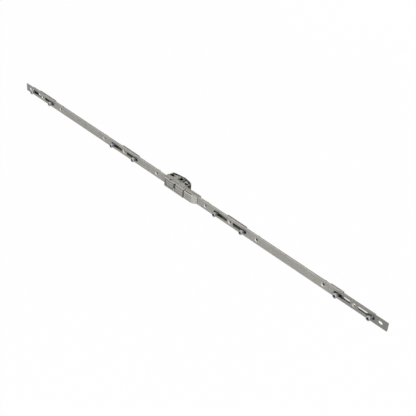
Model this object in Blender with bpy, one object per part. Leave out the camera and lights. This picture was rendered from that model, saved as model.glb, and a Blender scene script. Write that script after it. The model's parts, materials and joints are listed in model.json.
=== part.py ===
"""Central-drive window espagnolette with twin drive rails and eight opposed locking cams.

Sizes are in millimetres and become metres as each mesh is made.
X runs along the faceplate, Y from the front of the sash into its groove, Z across the faceplate.
The origin is on the spindle axis, in the front face of the faceplate, at half its width.
A quarter turn of the spindle moves the front rail to +X and the rear rail to -X by one travel.
"""
import math

import bmesh
import bpy
from mathutils import Matrix, Vector

MM = 0.001

# Faceplate
LENGTH = 1000.0
WIDTH = 16.0
PLATE = 1.8
END_RADIUS = 0.8
END_SLOT_INSET = 14.0
END_SLOT_HALF = 2.9
END_SLOT_LENGTH = 8.6
GAP = 0.3

# Locking points: each has two cams, set apart on both sides of a fixing screw.
# A pair of values is for the left half and the right half of the strip.
INNER_POINT = (151.5, 150.0)
END_DISTANCE = (63.0, 66.5)
CAM_SPREAD = 34.0
TRAVEL = 18.0
SCREW_R = 2.3
SCREW_SINK_R = 3.9
SLOT_HALF = 3.5
SLOT_INNER_END = 6.7
SLOT_OUTER_MARGIN = 8.0

# Cams: a turned mushroom on a riveted neck
CAM_NECK_R = 3.2
CAM_HEAD_R = 4.6
CAM_HEIGHT = 8.0
CAM_HEAD_THICK = 3.9
CAM_ROUND = 0.9
CAM_RIVET_R = 2.2
HEX_R = 2.6
HEX_DEPTH = 2.4

# Rails
RAIL = 1.8
RAIL_CLEAR = 0.4
REAR_RAIL_TOP = 5.4
RAIL_END_MARGIN = 5.0
FRONT_RAIL_MARGIN = 8.5
FORK_TAIL = 11.5
FORK_NOSES = (10.0, 7.8, 4.0)
END_WINDOW_HALF = 3.9
END_WINDOW_REACH = 25.0
DOUBLER_LENGTH = 27.0
DOUBLER = 1.6

# Guide bushes behind the faceplate
GUIDE_LEFT = 52.0
GUIDE_RIGHT = 86.0
GUIDE_FROM_INNER = (65.0, 66.5)
GUIDE_FROM_OUTER = (68.0, 64.5)
GUIDE_R = 3.2
GUIDE_FLANGE_R = 5.6
GUIDE_FLANGE = 1.2

# Bushes at the locking points, each on a plate that covers the slots from behind
BACK_LEFT = 22.5
BACK_RIGHT = 23.0
BACK_HALF = 4.5
BACK_PLATE = 1.0

# Drive: toothed sector on the spindle hub, and its rack on the front rail
BACKSET = 17.0
SECTOR_TEETH_PER_TURN = 20
SECTOR_TEETH = 8
SECTOR_WIDTH = 3.8
SECTOR_CLEAR = 0.35
RACK_BESIDE = 0.4
RAIL_PASS = 1.4
HUB_R = 6.8
SPINDLE = 7.0
SPINDLE_LEAD = 0.4

# Reversing pinion between the two rails
PINION_X = 30.0
PINION_TEETH = 10
PINION_MODULE = 0.8
PINION_BORE_R = 1.8
AXLE_R = 1.5
AXLE_HEAD_R = 2.8
AXLE_HEAD = 0.9

# Teeth
PRESSURE = math.radians(20.0)
BACKLASH = 0.24
TIP_CLEAR = 0.3

# Gearbox case
CASE_LEFT = -27.6
CASE_RIGHT = 23.4
CASE_CREST = 1.0
CASE_FALL = 7.5
CASE_FALL_DROP = 2.3
CASE_RIGHT_DROP = 5.0
CASE_CHAMFER = 6.2
CASE_CHAMFER_DROP = 3.2
CASE_CORNER_DROP = 5.8
CASE_HALF = 6.7
CASE_WALL = 1.6
CASE_SKIN = 1.5
CASE_REAR_MARGIN = 9.6
COVER = 1.45
SHOULDER = 2.0
STRAP = 0.8
FACE_STEP = 0.06
CHEEK_RIGHT = 68.0
CHEEK_REACH = 0.8
CHEEK_NOTCHES = (32.0, 42.0, 52.0)
CHEEK_NOTCH = 1.6
RIVET_R = 1.3
RIVET_HEAD_R = 1.9
RIVET_HEAD = 0.8
RIVET_INSET = 4.1
BOSS_R = 2.6
POCKET_RIM = 1.2
POCKET_DEPTH = 2.1
POCKET_RIB = 1.0
POCKET_SPAN = (-25.4, 20.0)
POCKETS = 6
ARC_CLEAR = 1.3
ARC_WIDTH = 1.6
COVER_SLOT = 0.8

# Raised front housing over the rails
FRAME_LEFT = -27.2
FRAME_RAMP = 7.0
HOOD_LEFT = 34.2
HOOD_RIGHT = 64.3
HOOD_RAMP = 9.4
FRAME_RISE = 7.3
HOOD_RISE = 6.5
HOUSING_WALL = 1.2
HOUSING_GAP = 1.2
LEFT_RECESS = 1.6
RIGHT_RECESS = 0.8
LOWER_BAR = 3.0
UPPER_BAR = 1.6
NOTCH_X = 7.0
NOTCH_WIDTH = 3.0
NOTCH_DEPTH = 3.2
SIDE_SLOT = 2.2
PIN_HOLE_X = -9.0
PIN_HOLE_Y = -2.4
PIN_HOLE_R = 1.3

# Values that follow from the sizes above
HALF_WIDTH = WIDTH / 2
FRONT_RAIL_Y = PLATE + GAP
REAR_RAIL_Y = FRONT_RAIL_Y + RAIL + GAP
STACK_REAR = REAR_RAIL_Y + RAIL
CASE_FRONT = STACK_REAR + GAP
PITCH_R = TRAVEL / (math.pi / 2)
SECTOR_MODULE = 2 * PITCH_R / SECTOR_TEETH_PER_TURN
PITCH_Y = BACKSET - PITCH_R
PINION_R = PINION_MODULE * PINION_TEETH / 2
PINION_TIP = PINION_R + 0.8 * PINION_MODULE
PINION_ROOT = PINION_R - 0.9 * PINION_MODULE
RAIL_NARROW = HALF_WIDTH - STRAP - GAP
CASE_SPLIT = CASE_HALF - COVER - GAP
SECTOR_HIGH = CASE_SPLIT - SECTOR_CLEAR
SECTOR_LOW = SECTOR_HIGH - SECTOR_WIDTH
RACK_LOW = SECTOR_LOW - RACK_BESIDE
RACK_HIGH = SECTOR_HIGH + RACK_BESIDE
REAR_NARROW_TOP = RACK_LOW - RAIL_PASS
STRAP_LEFT = CASE_LEFT + 1.0
NARROW_LEFT = STRAP_LEFT - TRAVEL - 0.5
TOOTH_END = PINION_X + PINION_TIP + 1.4
NARROW_RIGHT = CHEEK_RIGHT + 0.5
CASE_REAR = BACKSET + CASE_REAR_MARGIN
POINTS = (
    -LENGTH / 2 + END_DISTANCE[0],
    -INNER_POINT[0],
    INNER_POINT[1],
    LENGTH / 2 - END_DISTANCE[1],
)
NECK_CLEAR = CAM_NECK_R + RAIL_CLEAR
FRONT_RAIL_LEFT = POINTS[0] - CAM_SPREAD - RAIL_END_MARGIN
FRONT_RAIL_RIGHT = POINTS[3] - CAM_SPREAD + FRONT_RAIL_MARGIN
REAR_RAIL_LEFT = POINTS[0] - SLOT_INNER_END - TRAVEL / 2
REAR_RAIL_RIGHT = POINTS[3] + CAM_SPREAD + RAIL_END_MARGIN
GUIDE_X = (
    POINTS[0] + GUIDE_FROM_OUTER[0],
    POINTS[1] - GUIDE_FROM_INNER[0],
    -GUIDE_LEFT,
    GUIDE_RIGHT,
    POINTS[2] + GUIDE_FROM_INNER[1],
    POINTS[3] - GUIDE_FROM_OUTER[1],
)

ZINC = ((0.52, 0.52, 0.49, 1.0), 0.42, 1.0)
BRIGHT = ((0.74, 0.75, 0.78, 1.0), 0.22, 1.0)
DARK_STEEL = ((0.27, 0.26, 0.24, 1.0), 0.45, 1.0)
CAST_ZINC = ((0.42, 0.41, 0.38, 1.0), 0.5, 1.0)
SATIN = ((0.6, 0.6, 0.58, 1.0), 0.36, 1.0)


def clear_scene():
    for thing in list(bpy.data.objects):
        bpy.data.objects.remove(thing)


def material(name, finish):
    made = bpy.data.materials.new(name)
    made.use_nodes = True
    shader = made.node_tree.nodes["Principled BSDF"]
    shader.inputs["Base Color"].default_value = finish[0]
    shader.inputs["Roughness"].default_value = finish[1]
    shader.inputs["Metallic"].default_value = finish[2]
    return made


def new_object(name, bm, finish=None, at=(0.0, 0.0, 0.0)):
    """Turn a millimetre bmesh into an object placed at a point given in millimetres."""
    bmesh.ops.recalc_face_normals(bm, faces=bm.faces)
    bmesh.ops.transform(bm, matrix=Matrix.Scale(MM, 4), verts=bm.verts)
    mesh = bpy.data.meshes.new(name)
    bm.to_mesh(mesh)
    bm.free()
    thing = bpy.data.objects.new(name, mesh)
    thing.location = Vector(at) * MM
    bpy.context.collection.objects.link(thing)
    if finish:
        mesh.materials.append(material(name + "_finish", finish))
    return thing


def smooth(thing, angle=35.0):
    thing.data.shade_smooth()
    thing.data.set_sharp_from_angle(angle=math.radians(angle))


def boolean(thing, other, operation="DIFFERENCE"):
    other.hide_render = True
    other.display_type = "WIRE"
    other.name = thing.name + "_cutter"
    modifier = thing.modifiers.new(operation.title(), "BOOLEAN")
    modifier.operation = operation
    modifier.solver = "EXACT"
    modifier.object = other


def add_prism(bm, outline, low, high, axis="Y"):
    """Extrude an outline: in X and Z along Y, or in X and Y along Z."""
    def point(a, b, depth):
        return (a, depth, b) if axis == "Y" else (a, b, depth)

    bottom = [bm.verts.new(point(a, b, low)) for a, b in outline]
    face = bm.faces.new(bottom)
    lifted = bmesh.ops.extrude_face_region(bm, geom=[face])["geom"]
    tops = [item for item in lifted if isinstance(item, bmesh.types.BMVert)]
    shift = Vector(point(0.0, 0.0, high - low))
    bmesh.ops.translate(bm, vec=shift, verts=tops)


def prism(name, outline, low, high, axis="Y", finish=None, at=(0.0, 0.0, 0.0)):
    bm = bmesh.new()
    add_prism(bm, outline, low, high, axis)
    return new_object(name, bm, finish, at)


def add_turned(bm, profile, axis="Y", centre=(0.0, 0.0, 0.0), steps=24):
    """Spin a closed profile of (radius, height) pairs; radius 0 closes on the axis."""
    along = Vector((0, 1, 0)) if axis == "Y" else Vector((0, 0, 1))
    middle = Vector(centre)
    out = Vector((1, 0, 0))
    verts = [bm.verts.new(middle + out * r + along * h) for r, h in profile]
    edges = [bm.edges.new(pair) for pair in zip(verts, verts[1:])]
    if profile[0][0] > 0:
        edges.append(bm.edges.new((verts[-1], verts[0])))
    bmesh.ops.spin(
        bm, geom=verts + edges, cent=middle, axis=along, angle=math.tau,
        steps=steps, use_merge=True,
    )
    bmesh.ops.remove_doubles(bm, verts=bm.verts, dist=0.001)


def circle(x, y, radius, steps=24):
    angles = [math.tau * k / steps for k in range(steps)]
    return [(x + radius * math.cos(a), y + radius * math.sin(a)) for a in angles]


def slot(start, end, half, steps=7):
    """Outline of a straight slot with round ends between two points on its centre line."""
    turn = math.atan2(end[1] - start[1], end[0] - start[0])
    points = []
    for centre, first in ((end, -math.pi / 2), (start, math.pi / 2)):
        for k in range(steps + 1):
            a = turn + first + math.pi * k / steps
            points.append((centre[0] + half * math.cos(a), centre[1] + half * math.sin(a)))
    return points


def long_slot(left, right, half):
    """Slot along X between its two outermost points."""
    return slot((left + half, 0.0), (right - half, 0.0), half)


def box(left, right, low, high):
    return [(left, low), (right, low), (right, high), (left, high)]


def filleted(corners, radii, steps=5):
    """Outline whose corners are rounded by one radius each."""
    points = []
    count = len(corners)
    for k, radius in enumerate(radii):
        here = Vector(corners[k])
        before = (Vector(corners[k - 1]) - here).normalized()
        after = (Vector(corners[(k + 1) % count]) - here).normalized()
        if radius <= 0:
            points.append(tuple(here))
            continue
        half = math.acos(max(-1.0, min(1.0, before.dot(after)))) / 2
        centre = here + (before + after).normalized() * (radius / math.sin(half))
        first = here + before * (radius / math.tan(half)) - centre
        last = here + after * (radius / math.tan(half)) - centre
        sweep = first.angle_signed(last)
        for j in range(steps + 1):
            a = -sweep * j / steps
            turned = Matrix.Rotation(a, 2) @ first
            points.append(tuple(centre + turned))
    return points


def involute(angle):
    return math.tan(angle) - angle


def gear_tooth(module, teeth, radius, root, tip, middle):
    """One involute tooth round the direction given by its middle angle."""
    base = radius * math.cos(PRESSURE)
    half = math.pi / (2 * teeth) - BACKLASH / (2 * radius)
    radii = [root] + [max(base, root) + (tip - max(base, root)) * k / 4 for k in range(5)]
    flank = []
    for r in radii:
        roll = math.acos(min(1.0, base / r)) if r > base else 0.0
        flank.append((r, half + involute(PRESSURE) - involute(roll)))
    rising = [(r, middle - off) for r, off in flank]
    falling = [(r, middle + off) for r, off in reversed(flank)]
    return [(r * math.cos(a), r * math.sin(a)) for r, a in rising + falling]


def rack_tooth(middle, module, root, tip, pitch_line):
    """Four corners of a rack tooth as (along, height), the height rising from root to tip."""
    half = math.pi * module / 4 - BACKLASH / 2
    lean = math.tan(PRESSURE)
    low = half + lean * (pitch_line - root)
    high = half - lean * (tip - pitch_line)
    return [(middle - low, root), (middle - high, tip), (middle + high, tip), (middle + low, root)]


def slot_spans():
    """Left and right end of each cam slot in the faceplate."""
    spans = []
    for point in POINTS:
        far = CAM_SPREAD + SLOT_OUTER_MARGIN
        spans.append((point - far, point - SLOT_INNER_END))
        spans.append((point + SLOT_INNER_END, point + far))
    return spans


def case_corners(inset=0.0):
    """Corners of the gearbox case in X and Y: a low roof towards the rear, open to the rails."""
    left = CASE_LEFT + inset
    right = CASE_RIGHT - inset
    rear = CASE_REAR - inset
    return [
        (left, CASE_FRONT),
        (right, CASE_FRONT),
        (right, rear - CASE_RIGHT_DROP),
        (right - CASE_FALL, rear - CASE_FALL_DROP),
        (CASE_CREST, rear),
        (left + CASE_CHAMFER, rear - CASE_CHAMFER_DROP),
        (left, rear - CASE_CORNER_DROP),
    ]


def case_outline(inset=0.0):
    return filleted(case_corners(inset), [0.0, 0.0, 1.2, 12.0, 20.0, 16.0, 1.4])


def roof(x, inset):
    """Height Y of the rear edge of the case at a place along X."""
    roofline = case_corners(inset)[2:]
    for (x1, y1), (x2, y2) in zip(roofline, roofline[1:]):
        if x2 <= x <= x1:
            return y2 + (y1 - y2) * (x - x2) / (x1 - x2)
    return roofline[0][1]


def countersinks(bm, centres, top=0.0):
    """Screw holes with a cone opening to the front."""
    for x in centres:
        profile = [
            (0.0, top - 0.5),
            (SCREW_SINK_R + 0.5, top - 0.5),
            (SCREW_R, top + SCREW_SINK_R - SCREW_R),
            (SCREW_R, PLATE + 0.5),
            (0.0, PLATE + 0.5),
        ]
        add_turned(bm, profile, centre=(x, 0.0, 0.0), steps=20)


def make_faceplate():
    end = LENGTH / 2
    outline = filleted(box(-end, end, -HALF_WIDTH, HALF_WIDTH), [END_RADIUS] * 4, steps=3)
    plate = prism("faceplate", outline, 0.0, PLATE, finish=ZINC)
    cutter = bmesh.new()
    for left, right in slot_spans():
        add_prism(cutter, long_slot(left, right, SLOT_HALF), -1.0, PLATE + 1.0)
    for x in (-end + END_SLOT_INSET, end - END_SLOT_INSET):
        reach = END_SLOT_LENGTH / 2
        add_prism(cutter, long_slot(x - reach, x + reach, END_SLOT_HALF), -1.0, PLATE + 1.0)
    countersinks(cutter, POINTS + GUIDE_X)
    window = box(CASE_LEFT + 13.6, CASE_RIGHT + 1.3, -RAIL_NARROW + 1.1, RAIL_NARROW - 1.1)
    add_prism(cutter, filleted(window, [1.5] * 4, steps=3), -1.0, PLATE + 1.0)
    add_prism(cutter, circle(PINION_X, 0.0, AXLE_R + GAP, 16), -1.0, PLATE + 1.0)
    boolean(plate, new_object("faceplate_holes", cutter))


def front_rail_outline():
    """Front rail seen from the front, with the pinion teeth on the narrow bar."""
    wide_end = NARROW_LEFT
    step = PINION_X - PINION_TIP - TRAVEL - 0.8
    root = PINION_R + 0.8 * PINION_MODULE + TIP_CLEAR
    tip = PINION_R - 0.55 * PINION_MODULE
    pitch = math.pi * PINION_MODULE
    teeth = []
    first = math.ceil((step + 1.2 - PINION_X) / pitch - 0.5)
    last = math.floor((TOOTH_END - 1.0 - PINION_X) / pitch - 0.5)
    for k in range(last, first - 1, -1):
        middle = PINION_X + (k + 0.5) * pitch
        corners = rack_tooth(middle, PINION_MODULE, -root, -tip, -PINION_R)
        teeth += [(x, -z) for x, z in reversed(corners)]
    lower = [
        (FRONT_RAIL_LEFT, -HALF_WIDTH),
        (wide_end, -HALF_WIDTH),
        (wide_end, RACK_LOW - 0.1),
        (step, RACK_LOW - 0.1),
        (step, root),
    ]
    upper = [
        (TOOTH_END, root),
        (TOOTH_END, -RAIL_NARROW),
        (NARROW_RIGHT, -RAIL_NARROW),
        (NARROW_RIGHT, -HALF_WIDTH),
        (FRONT_RAIL_RIGHT, -HALF_WIDTH),
        (FRONT_RAIL_RIGHT, HALF_WIDTH),
        (NARROW_RIGHT, HALF_WIDTH),
        (NARROW_RIGHT, RAIL_NARROW),
        (wide_end, RAIL_NARROW),
        (wide_end, HALF_WIDTH),
        (FRONT_RAIL_LEFT, HALF_WIDTH),
    ]
    return lower + list(reversed(teeth)) + upper


def drive_rack_outline():
    """Rack on the rear of the front rail, in X and Y."""
    root = PITCH_Y - 1.25 * SECTOR_MODULE
    tip = PITCH_Y + 0.92 * SECTOR_MODULE
    pitch = math.pi * SECTOR_MODULE
    left = -(SECTOR_TEETH - 0.5) * pitch + 0.6 * pitch
    right = 1.0 * pitch
    points = [(right, FRONT_RAIL_Y + 0.2), (left, FRONT_RAIL_Y + 0.2), (left, root)]
    for k in range(-SECTOR_TEETH + 1, 1):
        middle = (k + 0.5) * pitch
        points += rack_tooth(middle, SECTOR_MODULE, root, tip, PITCH_Y)
    points.append((right, root))
    return points


def make_front_rail():
    rail = prism("front_rail", front_rail_outline(), FRONT_RAIL_Y, FRONT_RAIL_Y + RAIL,
                 finish=SATIN)
    rack = prism("front_rail_rack", drive_rack_outline(), RACK_LOW, RACK_HIGH, axis="Z")
    boolean(rail, rack, "UNION")
    cutter = bmesh.new()
    for point in POINTS:
        own = point - CAM_SPREAD
        add_prism(cutter, circle(own, 0.0, CAM_RIVET_R + GAP, 16), 0.0, CASE_FRONT)
        if point < POINTS[3]:
            left = point - TRAVEL - NECK_CLEAR
            right = point + CAM_SPREAD + NECK_CLEAR
            add_prism(cutter, long_slot(left, right, NECK_CLEAR), 0.0, CASE_FRONT)
    for x in GUIDE_X:
        left = x - TRAVEL - GUIDE_R - GAP
        right = x + GUIDE_R + GAP
        add_prism(cutter, long_slot(left, right, GUIDE_R + GAP), 0.0, CASE_FRONT)
    boolean(rail, new_object("front_rail_slots", cutter))


def rear_rail_outline():
    """Rear rail seen from the front: lower than the plate, and narrow in the gearbox."""
    root = PINION_R + 0.8 * PINION_MODULE + TIP_CLEAR
    tip = PINION_R - 0.55 * PINION_MODULE
    pitch = math.pi * PINION_MODULE
    step = PINION_X - PINION_TIP - 0.4
    wide = PINION_X + PINION_TIP + TRAVEL + 0.8
    first = math.ceil((step + 1.0 - PINION_X) / pitch - 0.5)
    last = math.floor((wide - 1.2 - PINION_X) / pitch - 0.5)
    teeth = []
    for k in range(last, first - 1, -1):
        middle = PINION_X + (k + 0.5) * pitch
        corners = rack_tooth(middle, PINION_MODULE, -root, -tip, -PINION_R)
        teeth += list(reversed(corners))
    outline = [
        (REAR_RAIL_LEFT, -HALF_WIDTH),
        (CASE_LEFT - GAP, -HALF_WIDTH),
        (CASE_LEFT - GAP, -RAIL_NARROW),
        (NARROW_RIGHT + TRAVEL, -RAIL_NARROW),
        (NARROW_RIGHT + TRAVEL, -HALF_WIDTH),
        (REAR_RAIL_RIGHT, -HALF_WIDTH),
        (REAR_RAIL_RIGHT, REAR_RAIL_TOP),
    ]
    for point, nose in ((POINTS[2], FORK_NOSES[2]), (POINTS[1], FORK_NOSES[1])):
        outline += fork_edge(point, nose)
        if point > 0:
            outline += [(wide, REAR_RAIL_TOP), (wide, -root)]
            outline += teeth
            outline += [(step, -root), (step, REAR_NARROW_TOP)]
            outline += [(CASE_LEFT - GAP, REAR_NARROW_TOP), (CASE_LEFT - GAP, REAR_RAIL_TOP)]
    outline += fork_edge(POINTS[0], FORK_NOSES[0])[:2]
    outline.append((REAR_RAIL_LEFT, HALF_WIDTH))
    return outline


def fork_edge(point, reach):
    """Upper edge of the widened part that carries a cam, from right to left."""
    nose = point + CAM_SPREAD + reach
    tail = point - FORK_TAIL
    return [
        (nose, REAR_RAIL_TOP),
        (nose - 1.5, HALF_WIDTH),
        (tail + 1.5, HALF_WIDTH),
        (tail, REAR_RAIL_TOP),
    ]


def make_rear_rail():
    rail = prism("rear_rail", rear_rail_outline(), REAR_RAIL_Y, STACK_REAR, finish=SATIN)
    cutter = bmesh.new()
    for point in POINTS:
        own = point + CAM_SPREAD
        add_prism(cutter, circle(own, 0.0, CAM_RIVET_R + GAP, 16), 0.0, CASE_FRONT)
        if point < POINTS[3]:
            left = point - GUIDE_R - GAP
            right = point + TRAVEL + GUIDE_R + GAP
            add_prism(cutter, long_slot(left, right, GUIDE_R + GAP), 0.0, CASE_FRONT)
    for x in GUIDE_X:
        left = x - GUIDE_R - GAP
        right = x + TRAVEL + GUIDE_R + GAP
        add_prism(cutter, long_slot(left, right, GUIDE_R + GAP), 0.0, CASE_FRONT)
    window = long_slot(FRONT_RAIL_RIGHT, POINTS[3] + END_WINDOW_REACH, END_WINDOW_HALF)
    add_prism(cutter, window, 0.0, CASE_FRONT)
    boolean(rail, new_object("rear_rail_slots", cutter))


def make_cam(name, x, seat_y, rail_rear):
    """Mushroom cam: head in front of the faceplate, neck through it, rivet through its rail."""
    neck = seat_y - GAP
    under = -CAM_HEIGHT + CAM_HEAD_THICK
    profile = [(0.0, -CAM_HEIGHT), (CAM_HEAD_R - CAM_ROUND, -CAM_HEIGHT)]
    for k in range(1, 3):
        a = math.pi / 4 * k
        profile.append((
            CAM_HEAD_R - CAM_ROUND * (1 - math.sin(a)),
            -CAM_HEIGHT + CAM_ROUND * (1 - math.cos(a)),
        ))
    profile += [
        (CAM_HEAD_R, under - 0.6),
        (CAM_HEAD_R - 0.6, under),
        (CAM_NECK_R, under),
        (CAM_NECK_R, neck),
        (CAM_RIVET_R, neck),
        (CAM_RIVET_R, rail_rear),
        (0.0, rail_rear),
    ]
    bm = bmesh.new()
    add_turned(bm, profile, steps=22)
    cam = new_object(name, bm, BRIGHT, at=(x, 0.0, 0.0))
    smooth(cam)
    hexagon = circle(x, 0.0, HEX_R, 6)
    socket = prism(name + "_hex", hexagon, -CAM_HEIGHT - 1.0, -CAM_HEIGHT + HEX_DEPTH)
    boolean(cam, socket)


def make_cams():
    for number, point in enumerate(POINTS, start=1):
        front = FRONT_RAIL_Y
        make_cam(f"cam_front_{number}", point - CAM_SPREAD, front, front + RAIL)
        make_cam(f"cam_rear_{number}", point + CAM_SPREAD, REAR_RAIL_Y, STACK_REAR)


def make_guides():
    """Spacer bushes that hold the two rails behind the faceplate round each fixing screw."""
    for number, x in enumerate(GUIDE_X, start=1):
        profile = [
            (SCREW_R, FRONT_RAIL_Y),
            (GUIDE_R, FRONT_RAIL_Y),
            (GUIDE_R, CASE_FRONT),
            (GUIDE_FLANGE_R, CASE_FRONT),
            (GUIDE_FLANGE_R, CASE_FRONT + GUIDE_FLANGE - 0.3),
            (GUIDE_FLANGE_R - 0.3, CASE_FRONT + GUIDE_FLANGE),
            (SCREW_R, CASE_FRONT + GUIDE_FLANGE),
        ]
        bm = bmesh.new()
        add_turned(bm, profile, steps=16)
        bush = new_object(f"guide_bush_{number}", bm, DARK_STEEL, at=(x, 0.0, 0.0))
        smooth(bush)


def make_point_bushes():
    """Bush round each inner fixing screw, on a long plate behind the slots of both rails."""
    rear = CASE_FRONT + BACK_PLATE
    for number, point in enumerate(POINTS[:3], start=1):
        outline = long_slot(point - BACK_LEFT, point + BACK_RIGHT, BACK_HALF)
        name = f"point_bush_{number}"
        plate = prism(name, outline, CASE_FRONT, rear, finish=DARK_STEEL)
        sleeve = circle(point, 0.0, GUIDE_R, 16)
        barrel = prism(name + "_barrel", sleeve, FRONT_RAIL_Y, rear - BACK_PLATE / 2)
        boolean(plate, barrel, "UNION")
        bore = prism(name + "_bore", circle(point, 0.0, SCREW_R, 16), 0.0, rear + 1.0)
        boolean(plate, bore)
        smooth(plate)


def make_doubler():
    """Plate riveted behind the last cam of the front rail, in line with the rear rail."""
    right = FRONT_RAIL_RIGHT
    left = right - DOUBLER_LENGTH
    low = REAR_RAIL_TOP + GAP + 0.1
    y = REAR_RAIL_Y
    corners = box(left, right, low, HALF_WIDTH)
    return prism("end_doubler", filleted(corners, [0.4] * 4, 2), y, y + DOUBLER, finish=SATIN)


def make_drive_hub():
    root = PITCH_R - 1.25 * SECTOR_MODULE
    tip = PITCH_R + 0.92 * SECTOR_MODULE
    pitch_angle = math.tau / SECTOR_TEETH_PER_TURN
    first = -math.pi / 2 - (SECTOR_TEETH - 2) * pitch_angle
    outline = []
    for k in range(SECTOR_TEETH):
        middle = first + k * pitch_angle
        outline += gear_tooth(SECTOR_MODULE, SECTOR_TEETH_PER_TURN, PITCH_R, root, tip, middle)
    last = first + (SECTOR_TEETH - 1) * pitch_angle
    back = HUB_R - 0.6
    for k in range(9):
        a = last + 0.55 + (math.tau - (last - first) - 1.1) * k / 8
        outline.append((back * math.cos(a), back * math.sin(a)))
    at = (0.0, BACKSET, 0.0)
    hub = prism("drive_hub", outline, SECTOR_LOW, SECTOR_HIGH, axis="Z", finish=DARK_STEEL, at=at)
    bm = bmesh.new()
    journal = [
        (0.0, -CASE_HALF),
        (HUB_R - 0.4, -CASE_HALF),
        (HUB_R, -CASE_HALF + 0.4),
        (HUB_R, CASE_HALF - 0.4),
        (HUB_R - 0.4, CASE_HALF),
        (0.0, CASE_HALF),
    ]
    add_turned(bm, journal, axis="Z", steps=32)
    boolean(hub, new_object("drive_hub_journal", bm, at=at), "UNION")
    half = SPINDLE / 2
    lead = half + SPINDLE_LEAD
    bm = bmesh.new()
    add_prism(bm, box(-half, half, -half, half), -CASE_HALF - 1.0, CASE_HALF + 1.0, axis="Z")
    boolean(hub, new_object("drive_hub_square", bm, at=at))
    for side in (-1, 1):
        bm = bmesh.new()
        rims = []
        for size, depth in ((half, CASE_HALF - SPINDLE_LEAD), (lead + 0.3, CASE_HALF + 0.3)):
            rims.append([bm.verts.new((x, y, side * depth)) for x, y in box(-size, size, -size, size)])
        bm.faces.new(rims[0])
        bm.faces.new(rims[1])
        bmesh.ops.bridge_loops(bm, edges=[
            bm.edges.get((rim[k], rim[(k + 1) % 4])) for rim in rims for k in range(4)
        ])
        boolean(hub, new_object(f"drive_hub_lead_{side}", bm, at=at))
    smooth(hub)


def make_pinion():
    outline = []
    for k in range(PINION_TEETH):
        middle = math.pi / 2 + math.tau * k / PINION_TEETH
        outline += gear_tooth(PINION_MODULE, PINION_TEETH, PINION_R, PINION_ROOT, PINION_TIP, middle)
    at = (PINION_X, 0.0, 0.0)
    pinion = prism("reversing_pinion", outline, FRONT_RAIL_Y, STACK_REAR, finish=DARK_STEEL, at=at)
    bore = prism("pinion_bore", circle(0.0, 0.0, PINION_BORE_R, 20), 0.0, CASE_FRONT, at=at)
    boolean(pinion, bore)
    profile = [
        (0.0, -GAP - AXLE_HEAD),
        (AXLE_HEAD_R - 0.3, -GAP - AXLE_HEAD),
        (AXLE_HEAD_R, -GAP - AXLE_HEAD + 0.3),
        (AXLE_HEAD_R, -GAP),
        (AXLE_R, -GAP),
        (AXLE_R, CASE_FRONT),
        (AXLE_HEAD_R, CASE_FRONT),
        (AXLE_HEAD_R, CASE_FRONT + AXLE_HEAD - 0.3),
        (AXLE_HEAD_R - 0.3, CASE_FRONT + AXLE_HEAD),
        (0.0, CASE_FRONT + AXLE_HEAD),
    ]
    bm = bmesh.new()
    add_turned(bm, profile, steps=20)
    axle = new_object("pinion_axle", bm, BRIGHT, at=at)
    smooth(axle)


def rivet_places():
    front = CASE_FRONT + RIVET_INSET
    return (
        (CASE_LEFT + RIVET_INSET, front),
        (CASE_RIGHT - RIVET_INSET + 0.4, front),
        (CASE_RIGHT - RIVET_INSET - 0.2, CASE_REAR - CASE_RIGHT_DROP - 2.2),
        (CASE_LEFT + RIVET_INSET + 0.9, CASE_REAR - CASE_CORNER_DROP - 3.5),
    )


def straps(bm, side):
    """Long notched cheek beside the rails, which joins the case to the faceplate."""
    low, high = sorted((side * (HALF_WIDTH - STRAP), side * (HALF_WIDTH - FACE_STEP)))
    rear = CASE_FRONT + SHOULDER / 2
    edge = CASE_FRONT + CHEEK_REACH
    floor = edge - CHEEK_NOTCH
    cheek = [(CHEEK_RIGHT, FRONT_RAIL_Y), (CHEEK_RIGHT, CASE_FRONT), (CHEEK_RIGHT - 2.0, edge)]
    for x in reversed(CHEEK_NOTCHES):
        cheek += [(x + CHEEK_NOTCH / 2, edge), (x + CHEEK_NOTCH / 2, floor)]
        cheek += [(x - CHEEK_NOTCH / 2, floor), (x - CHEEK_NOTCH / 2, edge)]
    step = CASE_RIGHT + GAP
    cheek += [(step, edge), (step, rear), (STRAP_LEFT, rear), (STRAP_LEFT, FRONT_RAIL_Y)]
    add_prism(bm, cheek, low, high, axis="Z")


def shoulder(side, inner):
    """Widened front edge of the case, as wide as the faceplate."""
    low, high = sorted((side * inner, side * HALF_WIDTH))
    left, right = CASE_LEFT + FACE_STEP, CASE_RIGHT - FACE_STEP
    outline = box(left, right, CASE_FRONT, CASE_FRONT + SHOULDER)
    return prism(f"shoulder_{side}", outline, low, high, axis="Z")


def make_case_body():
    body = prism("case_body", case_outline(), -CASE_HALF, CASE_SPLIT, axis="Z", finish=CAST_ZINC)
    inner = case_outline(CASE_WALL)
    mouth = [(x, y - 3.0 if y <= CASE_FRONT + 0.001 else y) for x, y in inner]
    cavity = prism("case_cavity", mouth, -CASE_HALF + CASE_SKIN, CASE_HALF, axis="Z")
    boolean(body, cavity)
    boolean(body, shoulder(-1, CASE_HALF - CASE_SKIN + 0.2), "UNION")
    feet = bmesh.new()
    straps(feet, -1)
    boolean(body, new_object("body_straps", feet), "UNION")
    bosses = bmesh.new()
    for x, y in rivet_places():
        add_prism(bosses, circle(x, y, BOSS_R, 16), -CASE_HALF + 0.5, CASE_SPLIT - 0.1, axis="Z")
    boolean(body, new_object("case_bosses", bosses), "UNION")
    holes = bmesh.new()
    add_prism(holes, circle(0.0, BACKSET, HUB_R + GAP, 32), -CASE_HALF - 1, 0.0, axis="Z")
    for x, y in rivet_places():
        add_prism(holes, circle(x, y, RIVET_R + GAP, 16), -CASE_HALF + 2.0, CASE_HALF, axis="Z")
    boolean(body, new_object("case_holes", holes))


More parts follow.
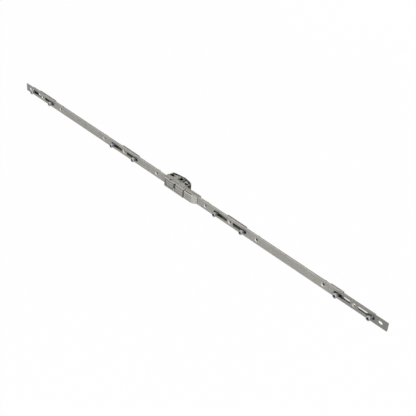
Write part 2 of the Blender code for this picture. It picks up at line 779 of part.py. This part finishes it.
def rim_pockets():
    """Openings that follow the rear edge of the cover, with a rib between each two."""
    left, right = POCKET_SPAN
    pitch = (right - left) / POCKETS
    outlines = []
    for k in range(POCKETS):
        start = left + pitch * k + POCKET_RIB / 2
        places = [start + (pitch - POCKET_RIB) * j / 3 for j in range(4)]
        outer = [(x, roof(x, POCKET_RIM)) for x in places]
        inner = [(x, roof(x, POCKET_RIM + POCKET_DEPTH)) for x in reversed(places)]
        outlines.append(outer + inner)
    return outlines


def ring_window(inner, outer, start, end, steps=9):
    """Arc-shaped slot round the spindle."""
    angles = [start + (end - start) * k / steps for k in range(steps + 1)]
    outside = [(outer * math.cos(a), BACKSET + outer * math.sin(a)) for a in angles]
    inside = [(inner * math.cos(a), BACKSET + inner * math.sin(a)) for a in reversed(angles)]
    return outside + inside


def cover_openings():
    """Outlines of all that is cut through the cover, grouped so that no group crosses itself."""
    left_slot = BACKSET - 2.7
    right_slot = BACKSET - 3.6
    hub_side = HUB_R + ARC_CLEAR + ARC_WIDTH + 1.2
    arc = ring_window(HUB_R + ARC_CLEAR, HUB_R + ARC_CLEAR + ARC_WIDTH,
                      math.radians(-72), math.radians(48))
    return (
        [circle(0.0, BACKSET, HUB_R + GAP, 32)],
        [circle(x, y, RIVET_R + GAP, 14) for x, y in rivet_places()],
        [slot((CASE_LEFT + 2.4, left_slot), (-hub_side - 3.4, left_slot), COVER_SLOT, 4)],
        [slot((hub_side, right_slot), (CASE_RIGHT - 2.4, right_slot + 1.6), COVER_SLOT, 4)],
        [arc],
        rim_pockets(),
    )


def make_case_cover():
    low = CASE_SPLIT + GAP
    cover = prism("case_cover", case_outline(), low, CASE_HALF, axis="Z", finish=CAST_ZINC)
    boolean(cover, shoulder(1, low), "UNION")
    feet = bmesh.new()
    straps(feet, 1)
    boolean(cover, new_object("cover_straps", feet), "UNION")
    for outlines in cover_openings():
        group = bmesh.new()
        for outline in outlines:
            add_prism(group, outline, 0.0, CASE_HALF + 1.0, axis="Z")
        boolean(cover, new_object("cover_opening", group))


def make_case_rivets():
    for number, (x, y) in enumerate(rivet_places(), start=1):
        foot = -CASE_HALF + 2.0 + GAP
        top = CASE_HALF + GAP
        profile = [
            (0.0, foot),
            (RIVET_R, foot),
            (RIVET_R, top),
            (RIVET_HEAD_R, top),
            (RIVET_HEAD_R, top + RIVET_HEAD * 0.5),
            (RIVET_HEAD_R * 0.6, top + RIVET_HEAD),
            (0.0, top + RIVET_HEAD),
        ]
        bm = bmesh.new()
        add_turned(bm, profile, axis="Z", steps=16)
        rivet = new_object(f"case_rivet_{number}", bm, BRIGHT, at=(x, y, 0.0))
        smooth(rivet)


def make_front_frame():
    """Framed half of the raised housing: a ramp at its left end and two shallow panels."""
    left, right = FRAME_LEFT, HOOD_LEFT - HOUSING_GAP
    crest = left + FRAME_RAMP
    side = [(left, -GAP), (left + 0.6, -GAP - 0.5), (crest, -FRAME_RISE), (right, -FRAME_RISE),
            (right, -GAP)]
    frame = prism("front_frame", side, -HALF_WIDTH, HALF_WIDTH, axis="Z", finish=ZINC)
    low, high = -HALF_WIDTH + LOWER_BAR, HALF_WIDTH - UPPER_BAR
    notch_left = NOTCH_X - NOTCH_WIDTH / 2
    notch_right = NOTCH_X + NOTCH_WIDTH / 2
    front = -FRAME_RISE - 1.0
    cuts = bmesh.new()
    panel = filleted(box(crest + 1.4, notch_left - 0.7, low, high), [0.8] * 4, 3)
    add_prism(cuts, panel, front, -FRAME_RISE + LEFT_RECESS)
    panel = filleted(box(notch_right + 0.7, right - 1.4, low, high), [0.8] * 4, 3)
    add_prism(cuts, panel, front, -FRAME_RISE + RIGHT_RECESS)
    notch = box(notch_left, notch_right, 0.0, HALF_WIDTH + 1.0)
    add_prism(cuts, notch, front, -FRAME_RISE + NOTCH_DEPTH)
    boolean(frame, new_object("frame_recess", cuts))
    edge = HALF_WIDTH - HOUSING_WALL
    inside = FRAME_RISE - NOTCH_DEPTH - HOUSING_WALL / 2
    hollow = [(left + 4.0, 1.0), (left + 4.0, -inside), (right + 1.0, -inside), (right + 1.0, 1.0)]
    back = prism("frame_back", hollow, -edge, edge, axis="Z")
    boolean(frame, back)
    hole = circle(PIN_HOLE_X, PIN_HOLE_Y, PIN_HOLE_R, 14)
    pin = prism("frame_pin_hole", hole, edge - 1.0, HALF_WIDTH + 1.0, axis="Z")
    boolean(frame, pin)


def make_hood():
    """Plain half of the raised housing: a pressed hood, slotted at the sides, with a ramp."""
    left, right = HOOD_LEFT, HOOD_RIGHT
    crest = right - HOOD_RAMP
    side = [(left, -GAP), (left, -HOOD_RISE), (crest, -HOOD_RISE), (right, -GAP - 0.6),
            (right, -GAP)]
    hood = prism("front_hood", side, -HALF_WIDTH, HALF_WIDTH, axis="Z", finish=SATIN)
    wall = HOUSING_WALL
    roof_y = -HOOD_RISE + wall
    inner = [(left - 1.0, 1.0), (left - 1.0, roof_y), (crest - 0.5, roof_y),
             (right - 2.4 * wall, -GAP - 0.2), (right - 2.4 * wall, 1.0)]
    cavity = prism("hood_cavity", inner, -HALF_WIDTH + wall, HALF_WIDTH - wall, axis="Z")
    boolean(hood, cavity)
    gap = box(left + 1.6, crest - 1.6, roof_y, roof_y + SIDE_SLOT)
    boolean(hood, prism("hood_side_slot", gap, -HALF_WIDTH - 1.0, HALF_WIDTH + 1.0, axis="Z"))
    edge = hood.modifiers.new("Edge", "BEVEL")
    edge.width = 0.4 * MM
    edge.segments = 2
    edge.limit_method = "ANGLE"
    edge.angle_limit = math.radians(25)


def build():
    clear_scene()
    make_faceplate()
    make_front_rail()
    make_rear_rail()
    make_cams()
    make_guides()
    make_point_bushes()
    make_doubler()
    make_drive_hub()
    make_pinion()
    make_case_body()
    make_case_cover()
    make_case_rivets()
    make_front_frame()
    make_hood()


build()
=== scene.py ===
"""Dresses the window espagnolette in its real metals, with painted shade and painted highlights
in their colours, and photographs it on a white sweep.
"""
import json
import math

import bpy
from mathutils import Matrix, Vector


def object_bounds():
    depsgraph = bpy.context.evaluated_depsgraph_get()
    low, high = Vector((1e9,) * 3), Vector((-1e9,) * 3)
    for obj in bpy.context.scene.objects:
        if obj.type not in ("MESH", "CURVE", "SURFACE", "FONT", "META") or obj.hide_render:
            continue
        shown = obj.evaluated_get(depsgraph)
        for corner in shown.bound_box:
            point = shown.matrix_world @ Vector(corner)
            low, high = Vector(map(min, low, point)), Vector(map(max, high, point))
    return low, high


IMAGE = 416
SENSOR = 36.0

# Camera, from the strip's edges, ends and holes in the photograph
AZIMUTH = math.radians(45.37)
ELEVATION = math.radians(33.98)
ROLL = math.radians(4.28)
DISTANCE = 1.561
FOCAL_PIXELS = 869.1
TARGET = Vector((0.0935, 0.0, -0.0005))
CLIP_NEAR, CLIP_FAR = 0.01, 50.0

# Studio: lamps are (name, place, size in metres, watts) and all aim at the gearbox
LAMPS = (
    ("key", (2.3, -2.5, 1.75), (4.4, 3.0), 141.0),
    ("top", (-0.3, 0.4, 2.2), (2.6, 1.8), 15.0),
    ("rear", (-1.2, 2.8, 0.8), (3.4, 2.2), 36.0),
)
SKY_COLOUR = (0.95, 0.97, 1.0, 1.0)
SKY_STRENGTH = 0.3
FLOOR_DROP = 0.30
FLOOR_HALF = 6.0
FLOOR_COLOUR = (0.9, 0.9, 0.9, 1.0)
FLOOR_ROUGHNESS = 0.9
FLOOR_GLOW = 0.97

WHITE = (1.0, 1.0, 1.0, 1.0)
BLACK = (0.0, 0.0, 0.0, 1.0)
EVEN = (1.0, 1.0, 1.0)
MILLIMETRE = 1000.0
OCCLUSION_SAMPLES = 8
BEVEL_SAMPLES = 6

# What all the metals share: places on a ramp, colours, and sizes of the noise
STREAK_BAND = (0.32, 0.68)
CLOUD_SCALE = 55.0
CLOUD_BAND = (0.3, 0.7)
CLOUD_TONE = (0.88, 0.88, 0.86, 1.0)
FINE_SCALE = 1400.0
SPOT_BAND = (0.36, 0.52)
SPOT_TONE = (0.45, 0.45, 0.44, 1.0)
EDGE_BAND = (0.85, 0.995)
BRIGHTEST_EDGE = 240
EDGE_WARMTH = 0.6
# Painted shade in hollows, and the levels over which dark colour turns matt
PAINTED_HOLLOW_SHADE = (30, 4)
MATT_TO_SHINY_BAND = (0.01, 0.22)
DARK_METALLIC_SHARE = 0.3
LIGHT_SPECULAR = 0.5
ROUGH_LESS, ROUGH_MORE = 0.08, 0.1
BUMP_DEPTH = 0.00005

# Y of the object's own normal on screw hole cones and on surfaces turned to the front, where
# painted highlight and painted shade are laid by facing
CONE_FACES = (-0.93, -0.35)
FRONT_FACES = (-1.01, -0.9)
HOOD_RAMP_FACES = (-0.95, -0.75)
COVER_FRONT_FACES = (-1.01, -0.5)

# Painted shade lines, painted highlights and darker ends, laid in each node's own space:
# centre, half size and fade in millimetres, then the level and its share
# Frame: painted shade lines along its recess and top, in its notch and pin hole, and at its right
# end
FRAME_PAINTED_SHADE = (
    ((3.0, -6.0, 0.4), (29.0, 2.0, 0.7), 0.9, 100, 0.7),
    ((3.0, -7.2, 7.8), (29.0, 0.6, 0.6), 0.5, 76, 0.7),
    ((7.8, -5.5, 4.5), (1.9, 1.6, 3.6), 0.4, 36, 0.9),
    ((-8.8, -1.7, 8.0), (1.9, 1.6, 0.4), 0.4, 16, 1.0),
    ((3.0, -0.9, 8.0), (29.0, 0.7, 0.3), 0.4, 84, 0.6),
    ((32.7, -4.0, 0.0), (0.5, 3.6, 8.2), 0.3, 40, 0.9),
)
# Hood: painted highlight lines along its top edge and down its left end
HOOD_PAINTED_HIGHLIGHTS = (
    ((45.0, -6.4, 7.6), (10.6, 0.6, 0.6), 0.5, 196, 0.7),
    ((34.7, -6.4, 0.0), (0.7, 0.6, 8.0), 0.3, 190, 0.6),
)
# Faceplate: darker towards both ends, a painted highlight along its top edge and a painted shade
# line on its top near the gearbox
PLATE_DARK_ENDS_AND_PAINTED_LIGHT = (
    ((462.0, 0.0, 0.0), (52.0, 3.0, 9.0), 9.0, 100, 0.5),
    ((489.0, 0.0, 0.0), (12.0, 3.0, 9.0), 8.0, 100, 0.4),
    ((-495.0, 0.0, 0.0), (18.0, 3.0, 9.0), 9.0, 100, 0.4),
    ((0.0, 0.9, 8.0), (400.0, 0.9, 0.1), 0.1, 178, 0.5),
    ((18.5, 0.6, 8.0), (45.5, 0.6, 0.2), 0.3, 84, 0.6),
)
# Rear rail: a painted shade line along its top
RAIL_PAINTED_SHADE = (((0.0, 5.1, 8.0), (500.0, 1.0, 0.1), 0.2, 76, 0.85),)
# Cover: painted shade in its pockets and along its steps
COVER_PAINTED_SHADE = (
    ((45.7, 4.0, 7.6), (22.5, 2.6, 0.7), 0.3, 108, 0.6),
    ((-26.8, 4.0, 7.6), (0.9, 4.6, 0.7), 0.3, 56, 0.85),
    ((-21.4, 11.9, 6.6), (5.2, 1.5, 0.6), 0.5, 20, 1.0),
    ((-23.3, 18.6, 6.3), (2.5, 1.7, 1.2), 0.5, 20, 1.0),
    ((-18.0, 20.4, 6.3), (2.6, 1.7, 1.2), 0.5, 26, 0.95),
    ((-11.4, 21.8, 6.3), (2.8, 1.4, 1.2), 0.6, 36, 0.85),
    ((-2.5, 23.0, 6.3), (5.4, 1.0, 1.2), 0.6, 36, 0.8),
    ((8.5, 22.3, 6.3), (3.6, 1.6, 1.2), 0.6, 30, 0.85),
    ((16.0, 21.1, 6.3), (2.9, 1.7, 1.2), 0.5, 26, 0.95),
    ((20.8, 18.6, 6.3), (1.9, 1.7, 1.2), 0.5, 30, 0.9),
    ((8.8, 15.2, 6.3), (1.5, 4.2, 1.2), 0.6, 36, 0.8),
    ((18.8, 13.2, 6.3), (3.6, 1.3, 1.2), 0.5, 20, 1.0),
)


class Shader:
    """A material's node tree with short calls for the nodes used here."""

    def __init__(self, name):
        self.material = bpy.data.materials.new(name)
        self.material.use_nodes = True
        self.nodes = self.material.node_tree.nodes
        self.links = self.material.node_tree.links
        self.principled = self.nodes["Principled BSDF"]

    def add(self, kind, **values):
        """A new node, with its own settings."""
        node = self.nodes.new("ShaderNode" + kind)
        for key, value in values.items():
            setattr(node, key, value)
        return node

    def set(self, node, **values):
        """Values for a node's inputs, with _ for a space in the input's name."""
        for key, value in values.items():
            node.inputs[key.replace("_", " ")].default_value = value

    def link(self, source, target):
        self.links.new(source, target)

    def coordinates(self, scale):
        """Object coordinates in metres, stretched by a scale for each axis."""
        source = self.add("TexCoord")
        mapping = self.add("Mapping")
        self.set(mapping, Scale=scale)
        self.link(source.outputs["Object"], mapping.inputs["Vector"])
        return mapping.outputs["Vector"]

    def noise(self, vector, scale, detail, roughness):
        node = self.add("TexNoise")
        self.set(node, Scale=scale, Detail=detail, Roughness=roughness)
        self.link(vector, node.inputs["Vector"])
        return node.outputs["Fac"]

    def ramp(self, value, band, colours):
        """From one colour to another while a value crosses the band."""
        node = self.add("ValToRGB")
        for element, place, colour in zip(node.color_ramp.elements, band, colours):
            element.position = place
            element.color = colour
        self.link(value, node.inputs["Fac"])
        return node.outputs["Color"]

    def spread(self, value, low, high):
        """0 to 1 turned into low to high."""
        node = self.add("MapRange")
        self.set(node, To_Min=low, To_Max=high)
        self.link(value, node.inputs["Value"])
        return node.outputs["Result"]

    def mix(self, factor, first, second, blend="MIX"):
        """Two colours mixed; each of the three may be a value or a socket."""
        node = self.add("Mix", data_type="RGBA", blend_type=blend)
        for socket, value in (("Factor_Float", factor), ("A_Color", first), ("B_Color", second)):
            target = next(s for s in node.inputs if s.identifier == socket)
            if isinstance(value, bpy.types.NodeSocket):
                self.link(value, target)
            else:
                target.default_value = value
        return next(s for s in node.outputs if s.identifier == "Result_Color")

    def bump(self, height, strength, distance, normal):
        node = self.add("Bump")
        self.set(node, Strength=strength, Distance=distance)
        self.link(height, node.inputs["Height"])
        self.link(normal, node.inputs["Normal"])
        return node.outputs["Normal"]

    def occlusion(self, distance):
        """How open a point is, from 0 deep in a hollow to 1 on a free face."""
        node = self.add("AmbientOcclusion", samples=OCCLUSION_SAMPLES)
        self.set(node, Distance=distance)
        return node.outputs["AO"]

    def brightness(self, colour, low, high):
        """0 to 1 as a colour goes from one linear level to another, so that painted shade and
        other dark colour stay matt.
        """
        level = self.add("RGBToBW")
        self.link(colour, level.inputs[0])
        node = self.add("MapRange")
        self.set(node, From_Min=low, From_Max=high)
        self.link(level.outputs[0], node.inputs["Value"])
        return node.outputs["Result"]

    def facing(self, low, high):
        """1 where the object's own normal has its Y between two values, 0 elsewhere."""
        split = self.add("SeparateXYZ")
        self.link(self.add("TexCoord").outputs["Normal"], split.inputs[0])
        above = self.add("Math", operation="GREATER_THAN")
        below = self.add("Math", operation="LESS_THAN")
        both = self.add("Math", operation="MULTIPLY")
        for node, limit, slot in ((above, low, 0), (below, high, 1)):
            self.link(split.outputs["Y"], node.inputs[0])
            node.inputs[1].default_value = limit
            self.link(node.outputs[0], both.inputs[slot])
        return both.outputs[0]

    def patch(self, centre, half, fade):
        """1 inside a box given in millimetres of the object's own space, fading out beyond it."""
        value = self.add("TexCoord").outputs["Object"]
        steps = (("SUBTRACT", centre), ("ABSOLUTE", None), ("SUBTRACT", half))
        for operation, numbers in steps:
            node = self.add("VectorMath", operation=operation)
            self.link(value, node.inputs[0])
            if numbers:
                node.inputs[1].default_value = [n / MILLIMETRE for n in numbers]
            value = node.outputs[0]
        split = self.add("SeparateXYZ")
        self.link(value, split.inputs[0])
        most = split.outputs["X"]
        for axis in "YZ":
            node = self.add("Math", operation="MAXIMUM")
            self.link(most, node.inputs[0])
            self.link(split.outputs[axis], node.inputs[1])
            most = node.outputs[0]
        falloff = self.add("MapRange")
        self.set(falloff, From_Min=0.0, From_Max=fade / MILLIMETRE, To_Min=1.0, To_Max=0.0)
        self.link(most, falloff.inputs["Value"])
        return falloff.outputs["Result"]

    def edge(self, radius):
        """Rounded normal, and how closely it follows the flat one: less near an edge."""
        node = self.add("Bevel", samples=BEVEL_SAMPLES)
        self.set(node, Radius=radius)
        alike = self.add("VectorMath", operation="DOT_PRODUCT")
        self.link(node.outputs["Normal"], alike.inputs[0])
        self.link(self.add("NewGeometry").outputs["Normal"], alike.inputs[1])
        return node.outputs["Normal"], alike.outputs["Value"]


def grey(level, warmth=0.0):
    """Linear colour from an sRGB level of 0 to 255, warmed by taking blue away."""
    def linear(v):
        c = max(0.0, v) / 255.0
        return c / 12.92 if c <= 0.04045 else ((c + 0.055) / 1.055) ** 2.4
    return (linear(level + warmth * 0.3), linear(level), linear(level - warmth), 1.0)


def metal(name, dark, light, warmth, rough, metallic=0.3, grain=(6.0, 60.0, 60.0),
          grain_scale=30.0, bump=0.15, edge=0.00025, spots=0.0, hollow=0.85, reach=0.006,
          dip=(0.25, 0.85), painted_light_by_facing=(), edge_wear_and_shading=30, painted_patches=()):
    """Plated or cast metal: streaked colour, uneven roughness, edges in another tone (lighter for
    wear and painted highlight, darker as painted shade lines) and painted shade in the hollows.

    Each entry of painted light by facing is (low, high, level): surfaces turned that way along Y
    take that level, a painted highlight where it is light and painted shade where it is dark.
    Each painted patch is (centre, half, fade, level, share), in millimetres; the patches lay
    painted shade, painted highlights and darker ends.
    """
    s = Shader(name)
    streak = s.noise(s.coordinates(grain), grain_scale, 4.0, 0.6)
    cloud = s.noise(s.coordinates(EVEN), CLOUD_SCALE, 3.0, 0.5)
    base = s.ramp(streak, STREAK_BAND, (grey(dark, warmth), grey(light, warmth)))
    tone = s.ramp(cloud, CLOUD_BAND, (CLOUD_TONE, WHITE))
    colour = s.mix(1.0, base, tone, "MULTIPLY")
    fine = s.noise(s.coordinates(EVEN), FINE_SCALE, 2.0, 0.6)
    if spots:
        speck = s.ramp(fine, SPOT_BAND, (SPOT_TONE, WHITE))
        colour = s.mix(spots, colour, speck, "MULTIPLY")
    # Edges in another tone: lighter for wear and painted highlight, darker as a painted shade
    # line where the step is negative
    rounded, flatness = s.edge(edge)
    rim = s.ramp(flatness, EDGE_BAND, (WHITE, BLACK))
    rim_tone = grey(min(BRIGHTEST_EDGE, light + edge_wear_and_shading), warmth * EDGE_WARMTH)
    colour = s.mix(rim, colour, rim_tone)
    # Painted light and shade by facing along Y
    for low, high, level in painted_light_by_facing:
        colour = s.mix(s.facing(low, high), colour, grey(level, warmth))
    # Painted patches: shade lines, highlights and darker ends over boxes in the node's own space
    for centre, half, fade, level, share in painted_patches:
        cover = s.spread(s.patch(centre, half, fade), 0.0, share)
        colour = s.mix(cover, colour, grey(level, warmth))
    # Painted shade: the colour darkens where ambient occlusion finds a hollow, corner or gap
    painted_shade = s.ramp(s.occlusion(reach), dip, (grey(*PAINTED_HOLLOW_SHADE), WHITE))
    colour = s.mix(hollow, colour, painted_shade, "MULTIPLY")
    # Dark colour, painted shade among it, loses metal and specular so that it stays dark
    lightness = s.brightness(colour, *MATT_TO_SHINY_BAND)
    for target, source in (
        ("Base Color", colour),
        ("Roughness", s.spread(streak, rough - ROUGH_LESS, rough + ROUGH_MORE)),
        ("Metallic", s.spread(lightness, metallic * DARK_METALLIC_SHARE, metallic)),
        ("Specular IOR Level", s.spread(lightness, 0.0, LIGHT_SPECULAR)),
        ("Normal", s.bump(fine, bump, BUMP_DEPTH, rounded)),
    ):
        s.link(source, s.principled.inputs[target])
    return s.material


def metals():
    """One finish for each material slot in the record, and for the nodes that differ from it."""
    cast = {"grain": EVEN, "grain_scale": 120.0, "bump": 0.3}
    return {
        # Faceplate: painted highlight on the screw hole cones, painted shade in hollows, and its
        # patches
        "plated_steel": metal("plate_finish", 140, 156, 6, 0.45, painted_light_by_facing=[(*CONE_FACES, 184)],
                              painted_patches=PLATE_DARK_ENDS_AND_PAINTED_LIGHT, hollow=0.6, dip=(0.1, 0.6)),
        # Front rail: painted shade on its front, seen through the slots
        "rail_steel": metal("rail_finish", 136, 154, 7, 0.45, painted_light_by_facing=[(*FRONT_FACES, 34)]),
        # Rear rail: the rail finish made darker as painted shade, with painted shade on its front
        # and along its top
        "rear_rail": metal("rear_rail_shaded_finish", 116, 136, 7, 0.45, painted_light_by_facing=[(*FRONT_FACES, 110)],
                           painted_patches=RAIL_PAINTED_SHADE),
        # Hood: painted sheen on its ramp, painted highlight lines, and edges lighter for wear and
        # painted highlight
        "satin_hood": metal("hood_finish", 140, 156, 6, 0.42, grain_scale=18.0, edge_wear_and_shading=44,
                            edge=0.0006, painted_light_by_facing=[(*HOOD_RAMP_FACES, 164)], painted_patches=HOOD_PAINTED_HIGHLIGHTS),
        # Frame: edges darkened as painted shade lines, painted shade in its recess, and its
        # painted shade patches
        "front_frame": metal("frame_finish", 148, 164, 6, 0.45, reach=0.004, dip=(0.3, 0.8),
                             edge=0.0007, edge_wear_and_shading=-34, painted_patches=FRAME_PAINTED_SHADE),
        "bright_cam": metal("cam_finish", 140, 172, -4, 0.22, metallic=0.7, grain=EVEN,
                            grain_scale=120.0, bump=0.05, edge=0.0002, reach=0.004,
                            dip=(0.35, 0.95), hollow=0.95),
        "rivet_steel": metal("rivet_finish", 44, 62, 4, 0.38, metallic=0.4, grain=EVEN, bump=0.1),
        "dark_steel": metal("dark_finish", 62, 86, 6, 0.42, grain=EVEN, grain_scale=90.0,
                            spots=0.3),
        "drive_hub": metal("hub_finish", 96, 116, 0, 0.36, grain=EVEN, grain_scale=90.0,
                           spots=0.2, reach=0.01, dip=(0.45, 0.95), hollow=0.97),
        # Cover: painted shade on the pocket walls turned to the front, and its painted shade
        # patches
        "cast_case": metal("cover_finish", 128, 154, 8, 0.5, **cast, spots=0.3, hollow=0.9,
                           reach=0.008, edge=0.0004, edge_wear_and_shading=44,
                           painted_light_by_facing=[(*COVER_FRONT_FACES, 26)], painted_patches=COVER_PAINTED_SHADE),
        # Case body: the cast finish made darker as painted shade, with long-reach painted shade
        # in its hollows
        "case_body": metal("case_body_shaded_finish", 54, 76, 8, 0.5, **cast, spots=0.35, hollow=0.97,
                           reach=0.03, dip=(0.4, 0.9)),
    }


def dress(frame, finishes):
    """Gives each node its own finish, or else the one of its material slot."""
    for part in frame["record"]["subparts"]:
        node = frame["nodes"][part["node"]]
        finish = finishes.get(part["node"], finishes[part["material_slot"]])
        node.data.materials.clear()
        node.data.materials.append(finish)


def background_ray(nodes, links):
    """A socket that is 1 for rays that should see the plain white of the backdrop."""
    path = nodes.new("ShaderNodeLightPath")
    total = path.outputs["Is Camera Ray"]
    for name in ("Is Glossy Ray", "Is Transmission Ray"):
        most = nodes.new("ShaderNodeMath")
        most.operation = "MAXIMUM"
        links.new(total, most.inputs[0])
        links.new(path.outputs[name], most.inputs[1])
        total = most.outputs[0]
    return total


def make_world():
    """A soft sky for the light, and plain white where the backdrop is seen."""
    world = bpy.data.worlds.new("studio_world")
    bpy.context.scene.world = world
    world.use_nodes = True
    nodes, links = world.node_tree.nodes, world.node_tree.links
    soft, shown = nodes["Background"], nodes.new("ShaderNodeBackground")
    for node, colour, strength in ((soft, SKY_COLOUR, SKY_STRENGTH), (shown, WHITE, 1.0)):
        node.inputs["Color"].default_value = colour
        node.inputs["Strength"].default_value = strength
    choose = nodes.new("ShaderNodeMixShader")
    links.new(background_ray(nodes, links), choose.inputs[0])
    links.new(soft.outputs[0], choose.inputs[1])
    links.new(shown.outputs[0], choose.inputs[2])
    links.new(choose.outputs[0], nodes["World Output"].inputs["Surface"])


def make_floor(low):
    """A matt floor below the object that looks almost white and keeps a faint shadow."""
    mesh = bpy.data.meshes.new("studio_floor")
    z = low - FLOOR_DROP
    sides = ((-1, -1), (1, -1), (1, 1), (-1, 1))
    corners = [(x * FLOOR_HALF, y * FLOOR_HALF, z) for x, y in sides]
    mesh.from_pydata(corners, [], [(0, 1, 2, 3)])
    floor = bpy.data.objects.new("studio_floor", mesh)
    bpy.context.collection.objects.link(floor)
    s = Shader("floor_finish")
    s.set(s.principled, Base_Color=FLOOR_COLOUR, Roughness=FLOOR_ROUGHNESS)
    glow = s.add("Emission")
    s.set(glow, Color=WHITE, Strength=1.0)
    share = s.add("Math", operation="MULTIPLY")
    s.link(background_ray(s.nodes, s.links), share.inputs[0])
    share.inputs[1].default_value = FLOOR_GLOW
    choose = s.add("MixShader")
    s.link(share.outputs[0], choose.inputs[0])
    s.link(s.principled.outputs[0], choose.inputs[1])
    s.link(glow.outputs[0], choose.inputs[2])
    s.link(choose.outputs[0], s.nodes["Material Output"].inputs["Surface"])
    mesh.materials.append(s.material)


def make_lamp(name, place, size, power):
    """A rectangular soft lamp that aims at the gearbox, at the origin."""
    data = bpy.data.lights.new(name, "AREA")
    data.shape = "RECTANGLE"
    data.size, data.size_y = size
    data.energy = power
    lamp = bpy.data.objects.new(name, data)
    lamp.location = place
    lamp.rotation_mode = "QUATERNION"
    lamp.rotation_quaternion = (-Vector(place)).to_track_quat("-Z", "Y")
    bpy.context.collection.objects.link(lamp)


def make_camera():
    """The photograph's viewpoint, rolled about its own axis."""
    back = Vector((
        math.sin(AZIMUTH) * math.cos(ELEVATION),
        -math.cos(AZIMUTH) * math.cos(ELEVATION),
        math.sin(ELEVATION),
    ))
    level = Vector((math.cos(AZIMUTH), math.sin(AZIMUTH), 0.0))
    upright = back.cross(level)
    right = level * math.cos(ROLL) + upright * math.sin(ROLL)
    up = upright * math.cos(ROLL) - level * math.sin(ROLL)
    data = bpy.data.cameras.new("camera")
    data.sensor_width = SENSOR
    data.lens = FOCAL_PIXELS * SENSOR / IMAGE
    data.clip_start = CLIP_NEAR
    data.clip_end = CLIP_FAR
    camera = bpy.data.objects.new("camera", data)
    axes = Matrix((right, up, back)).transposed()
    camera.matrix_world = Matrix.Translation(TARGET + back * DISTANCE) @ axes.to_4x4()
    bpy.context.collection.objects.link(camera)
    bpy.context.scene.camera = camera


def as_lists(box):
    return [list(corner) for corner in box]


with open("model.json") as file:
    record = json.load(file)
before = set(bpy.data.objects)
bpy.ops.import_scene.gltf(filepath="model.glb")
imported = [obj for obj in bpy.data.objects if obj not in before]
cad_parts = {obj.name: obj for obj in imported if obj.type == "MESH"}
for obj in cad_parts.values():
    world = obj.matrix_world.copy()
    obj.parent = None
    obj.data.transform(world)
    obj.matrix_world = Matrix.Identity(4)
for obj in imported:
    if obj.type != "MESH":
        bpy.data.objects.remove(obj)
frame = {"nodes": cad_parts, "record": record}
cad_box = as_lists(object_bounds())
dress(frame, metals())
make_world()
make_floor(cad_box[0][2])
for lamp in LAMPS:
    make_lamp(*lamp)
make_camera()
bpy.context.scene.view_settings.view_transform = "Standard"
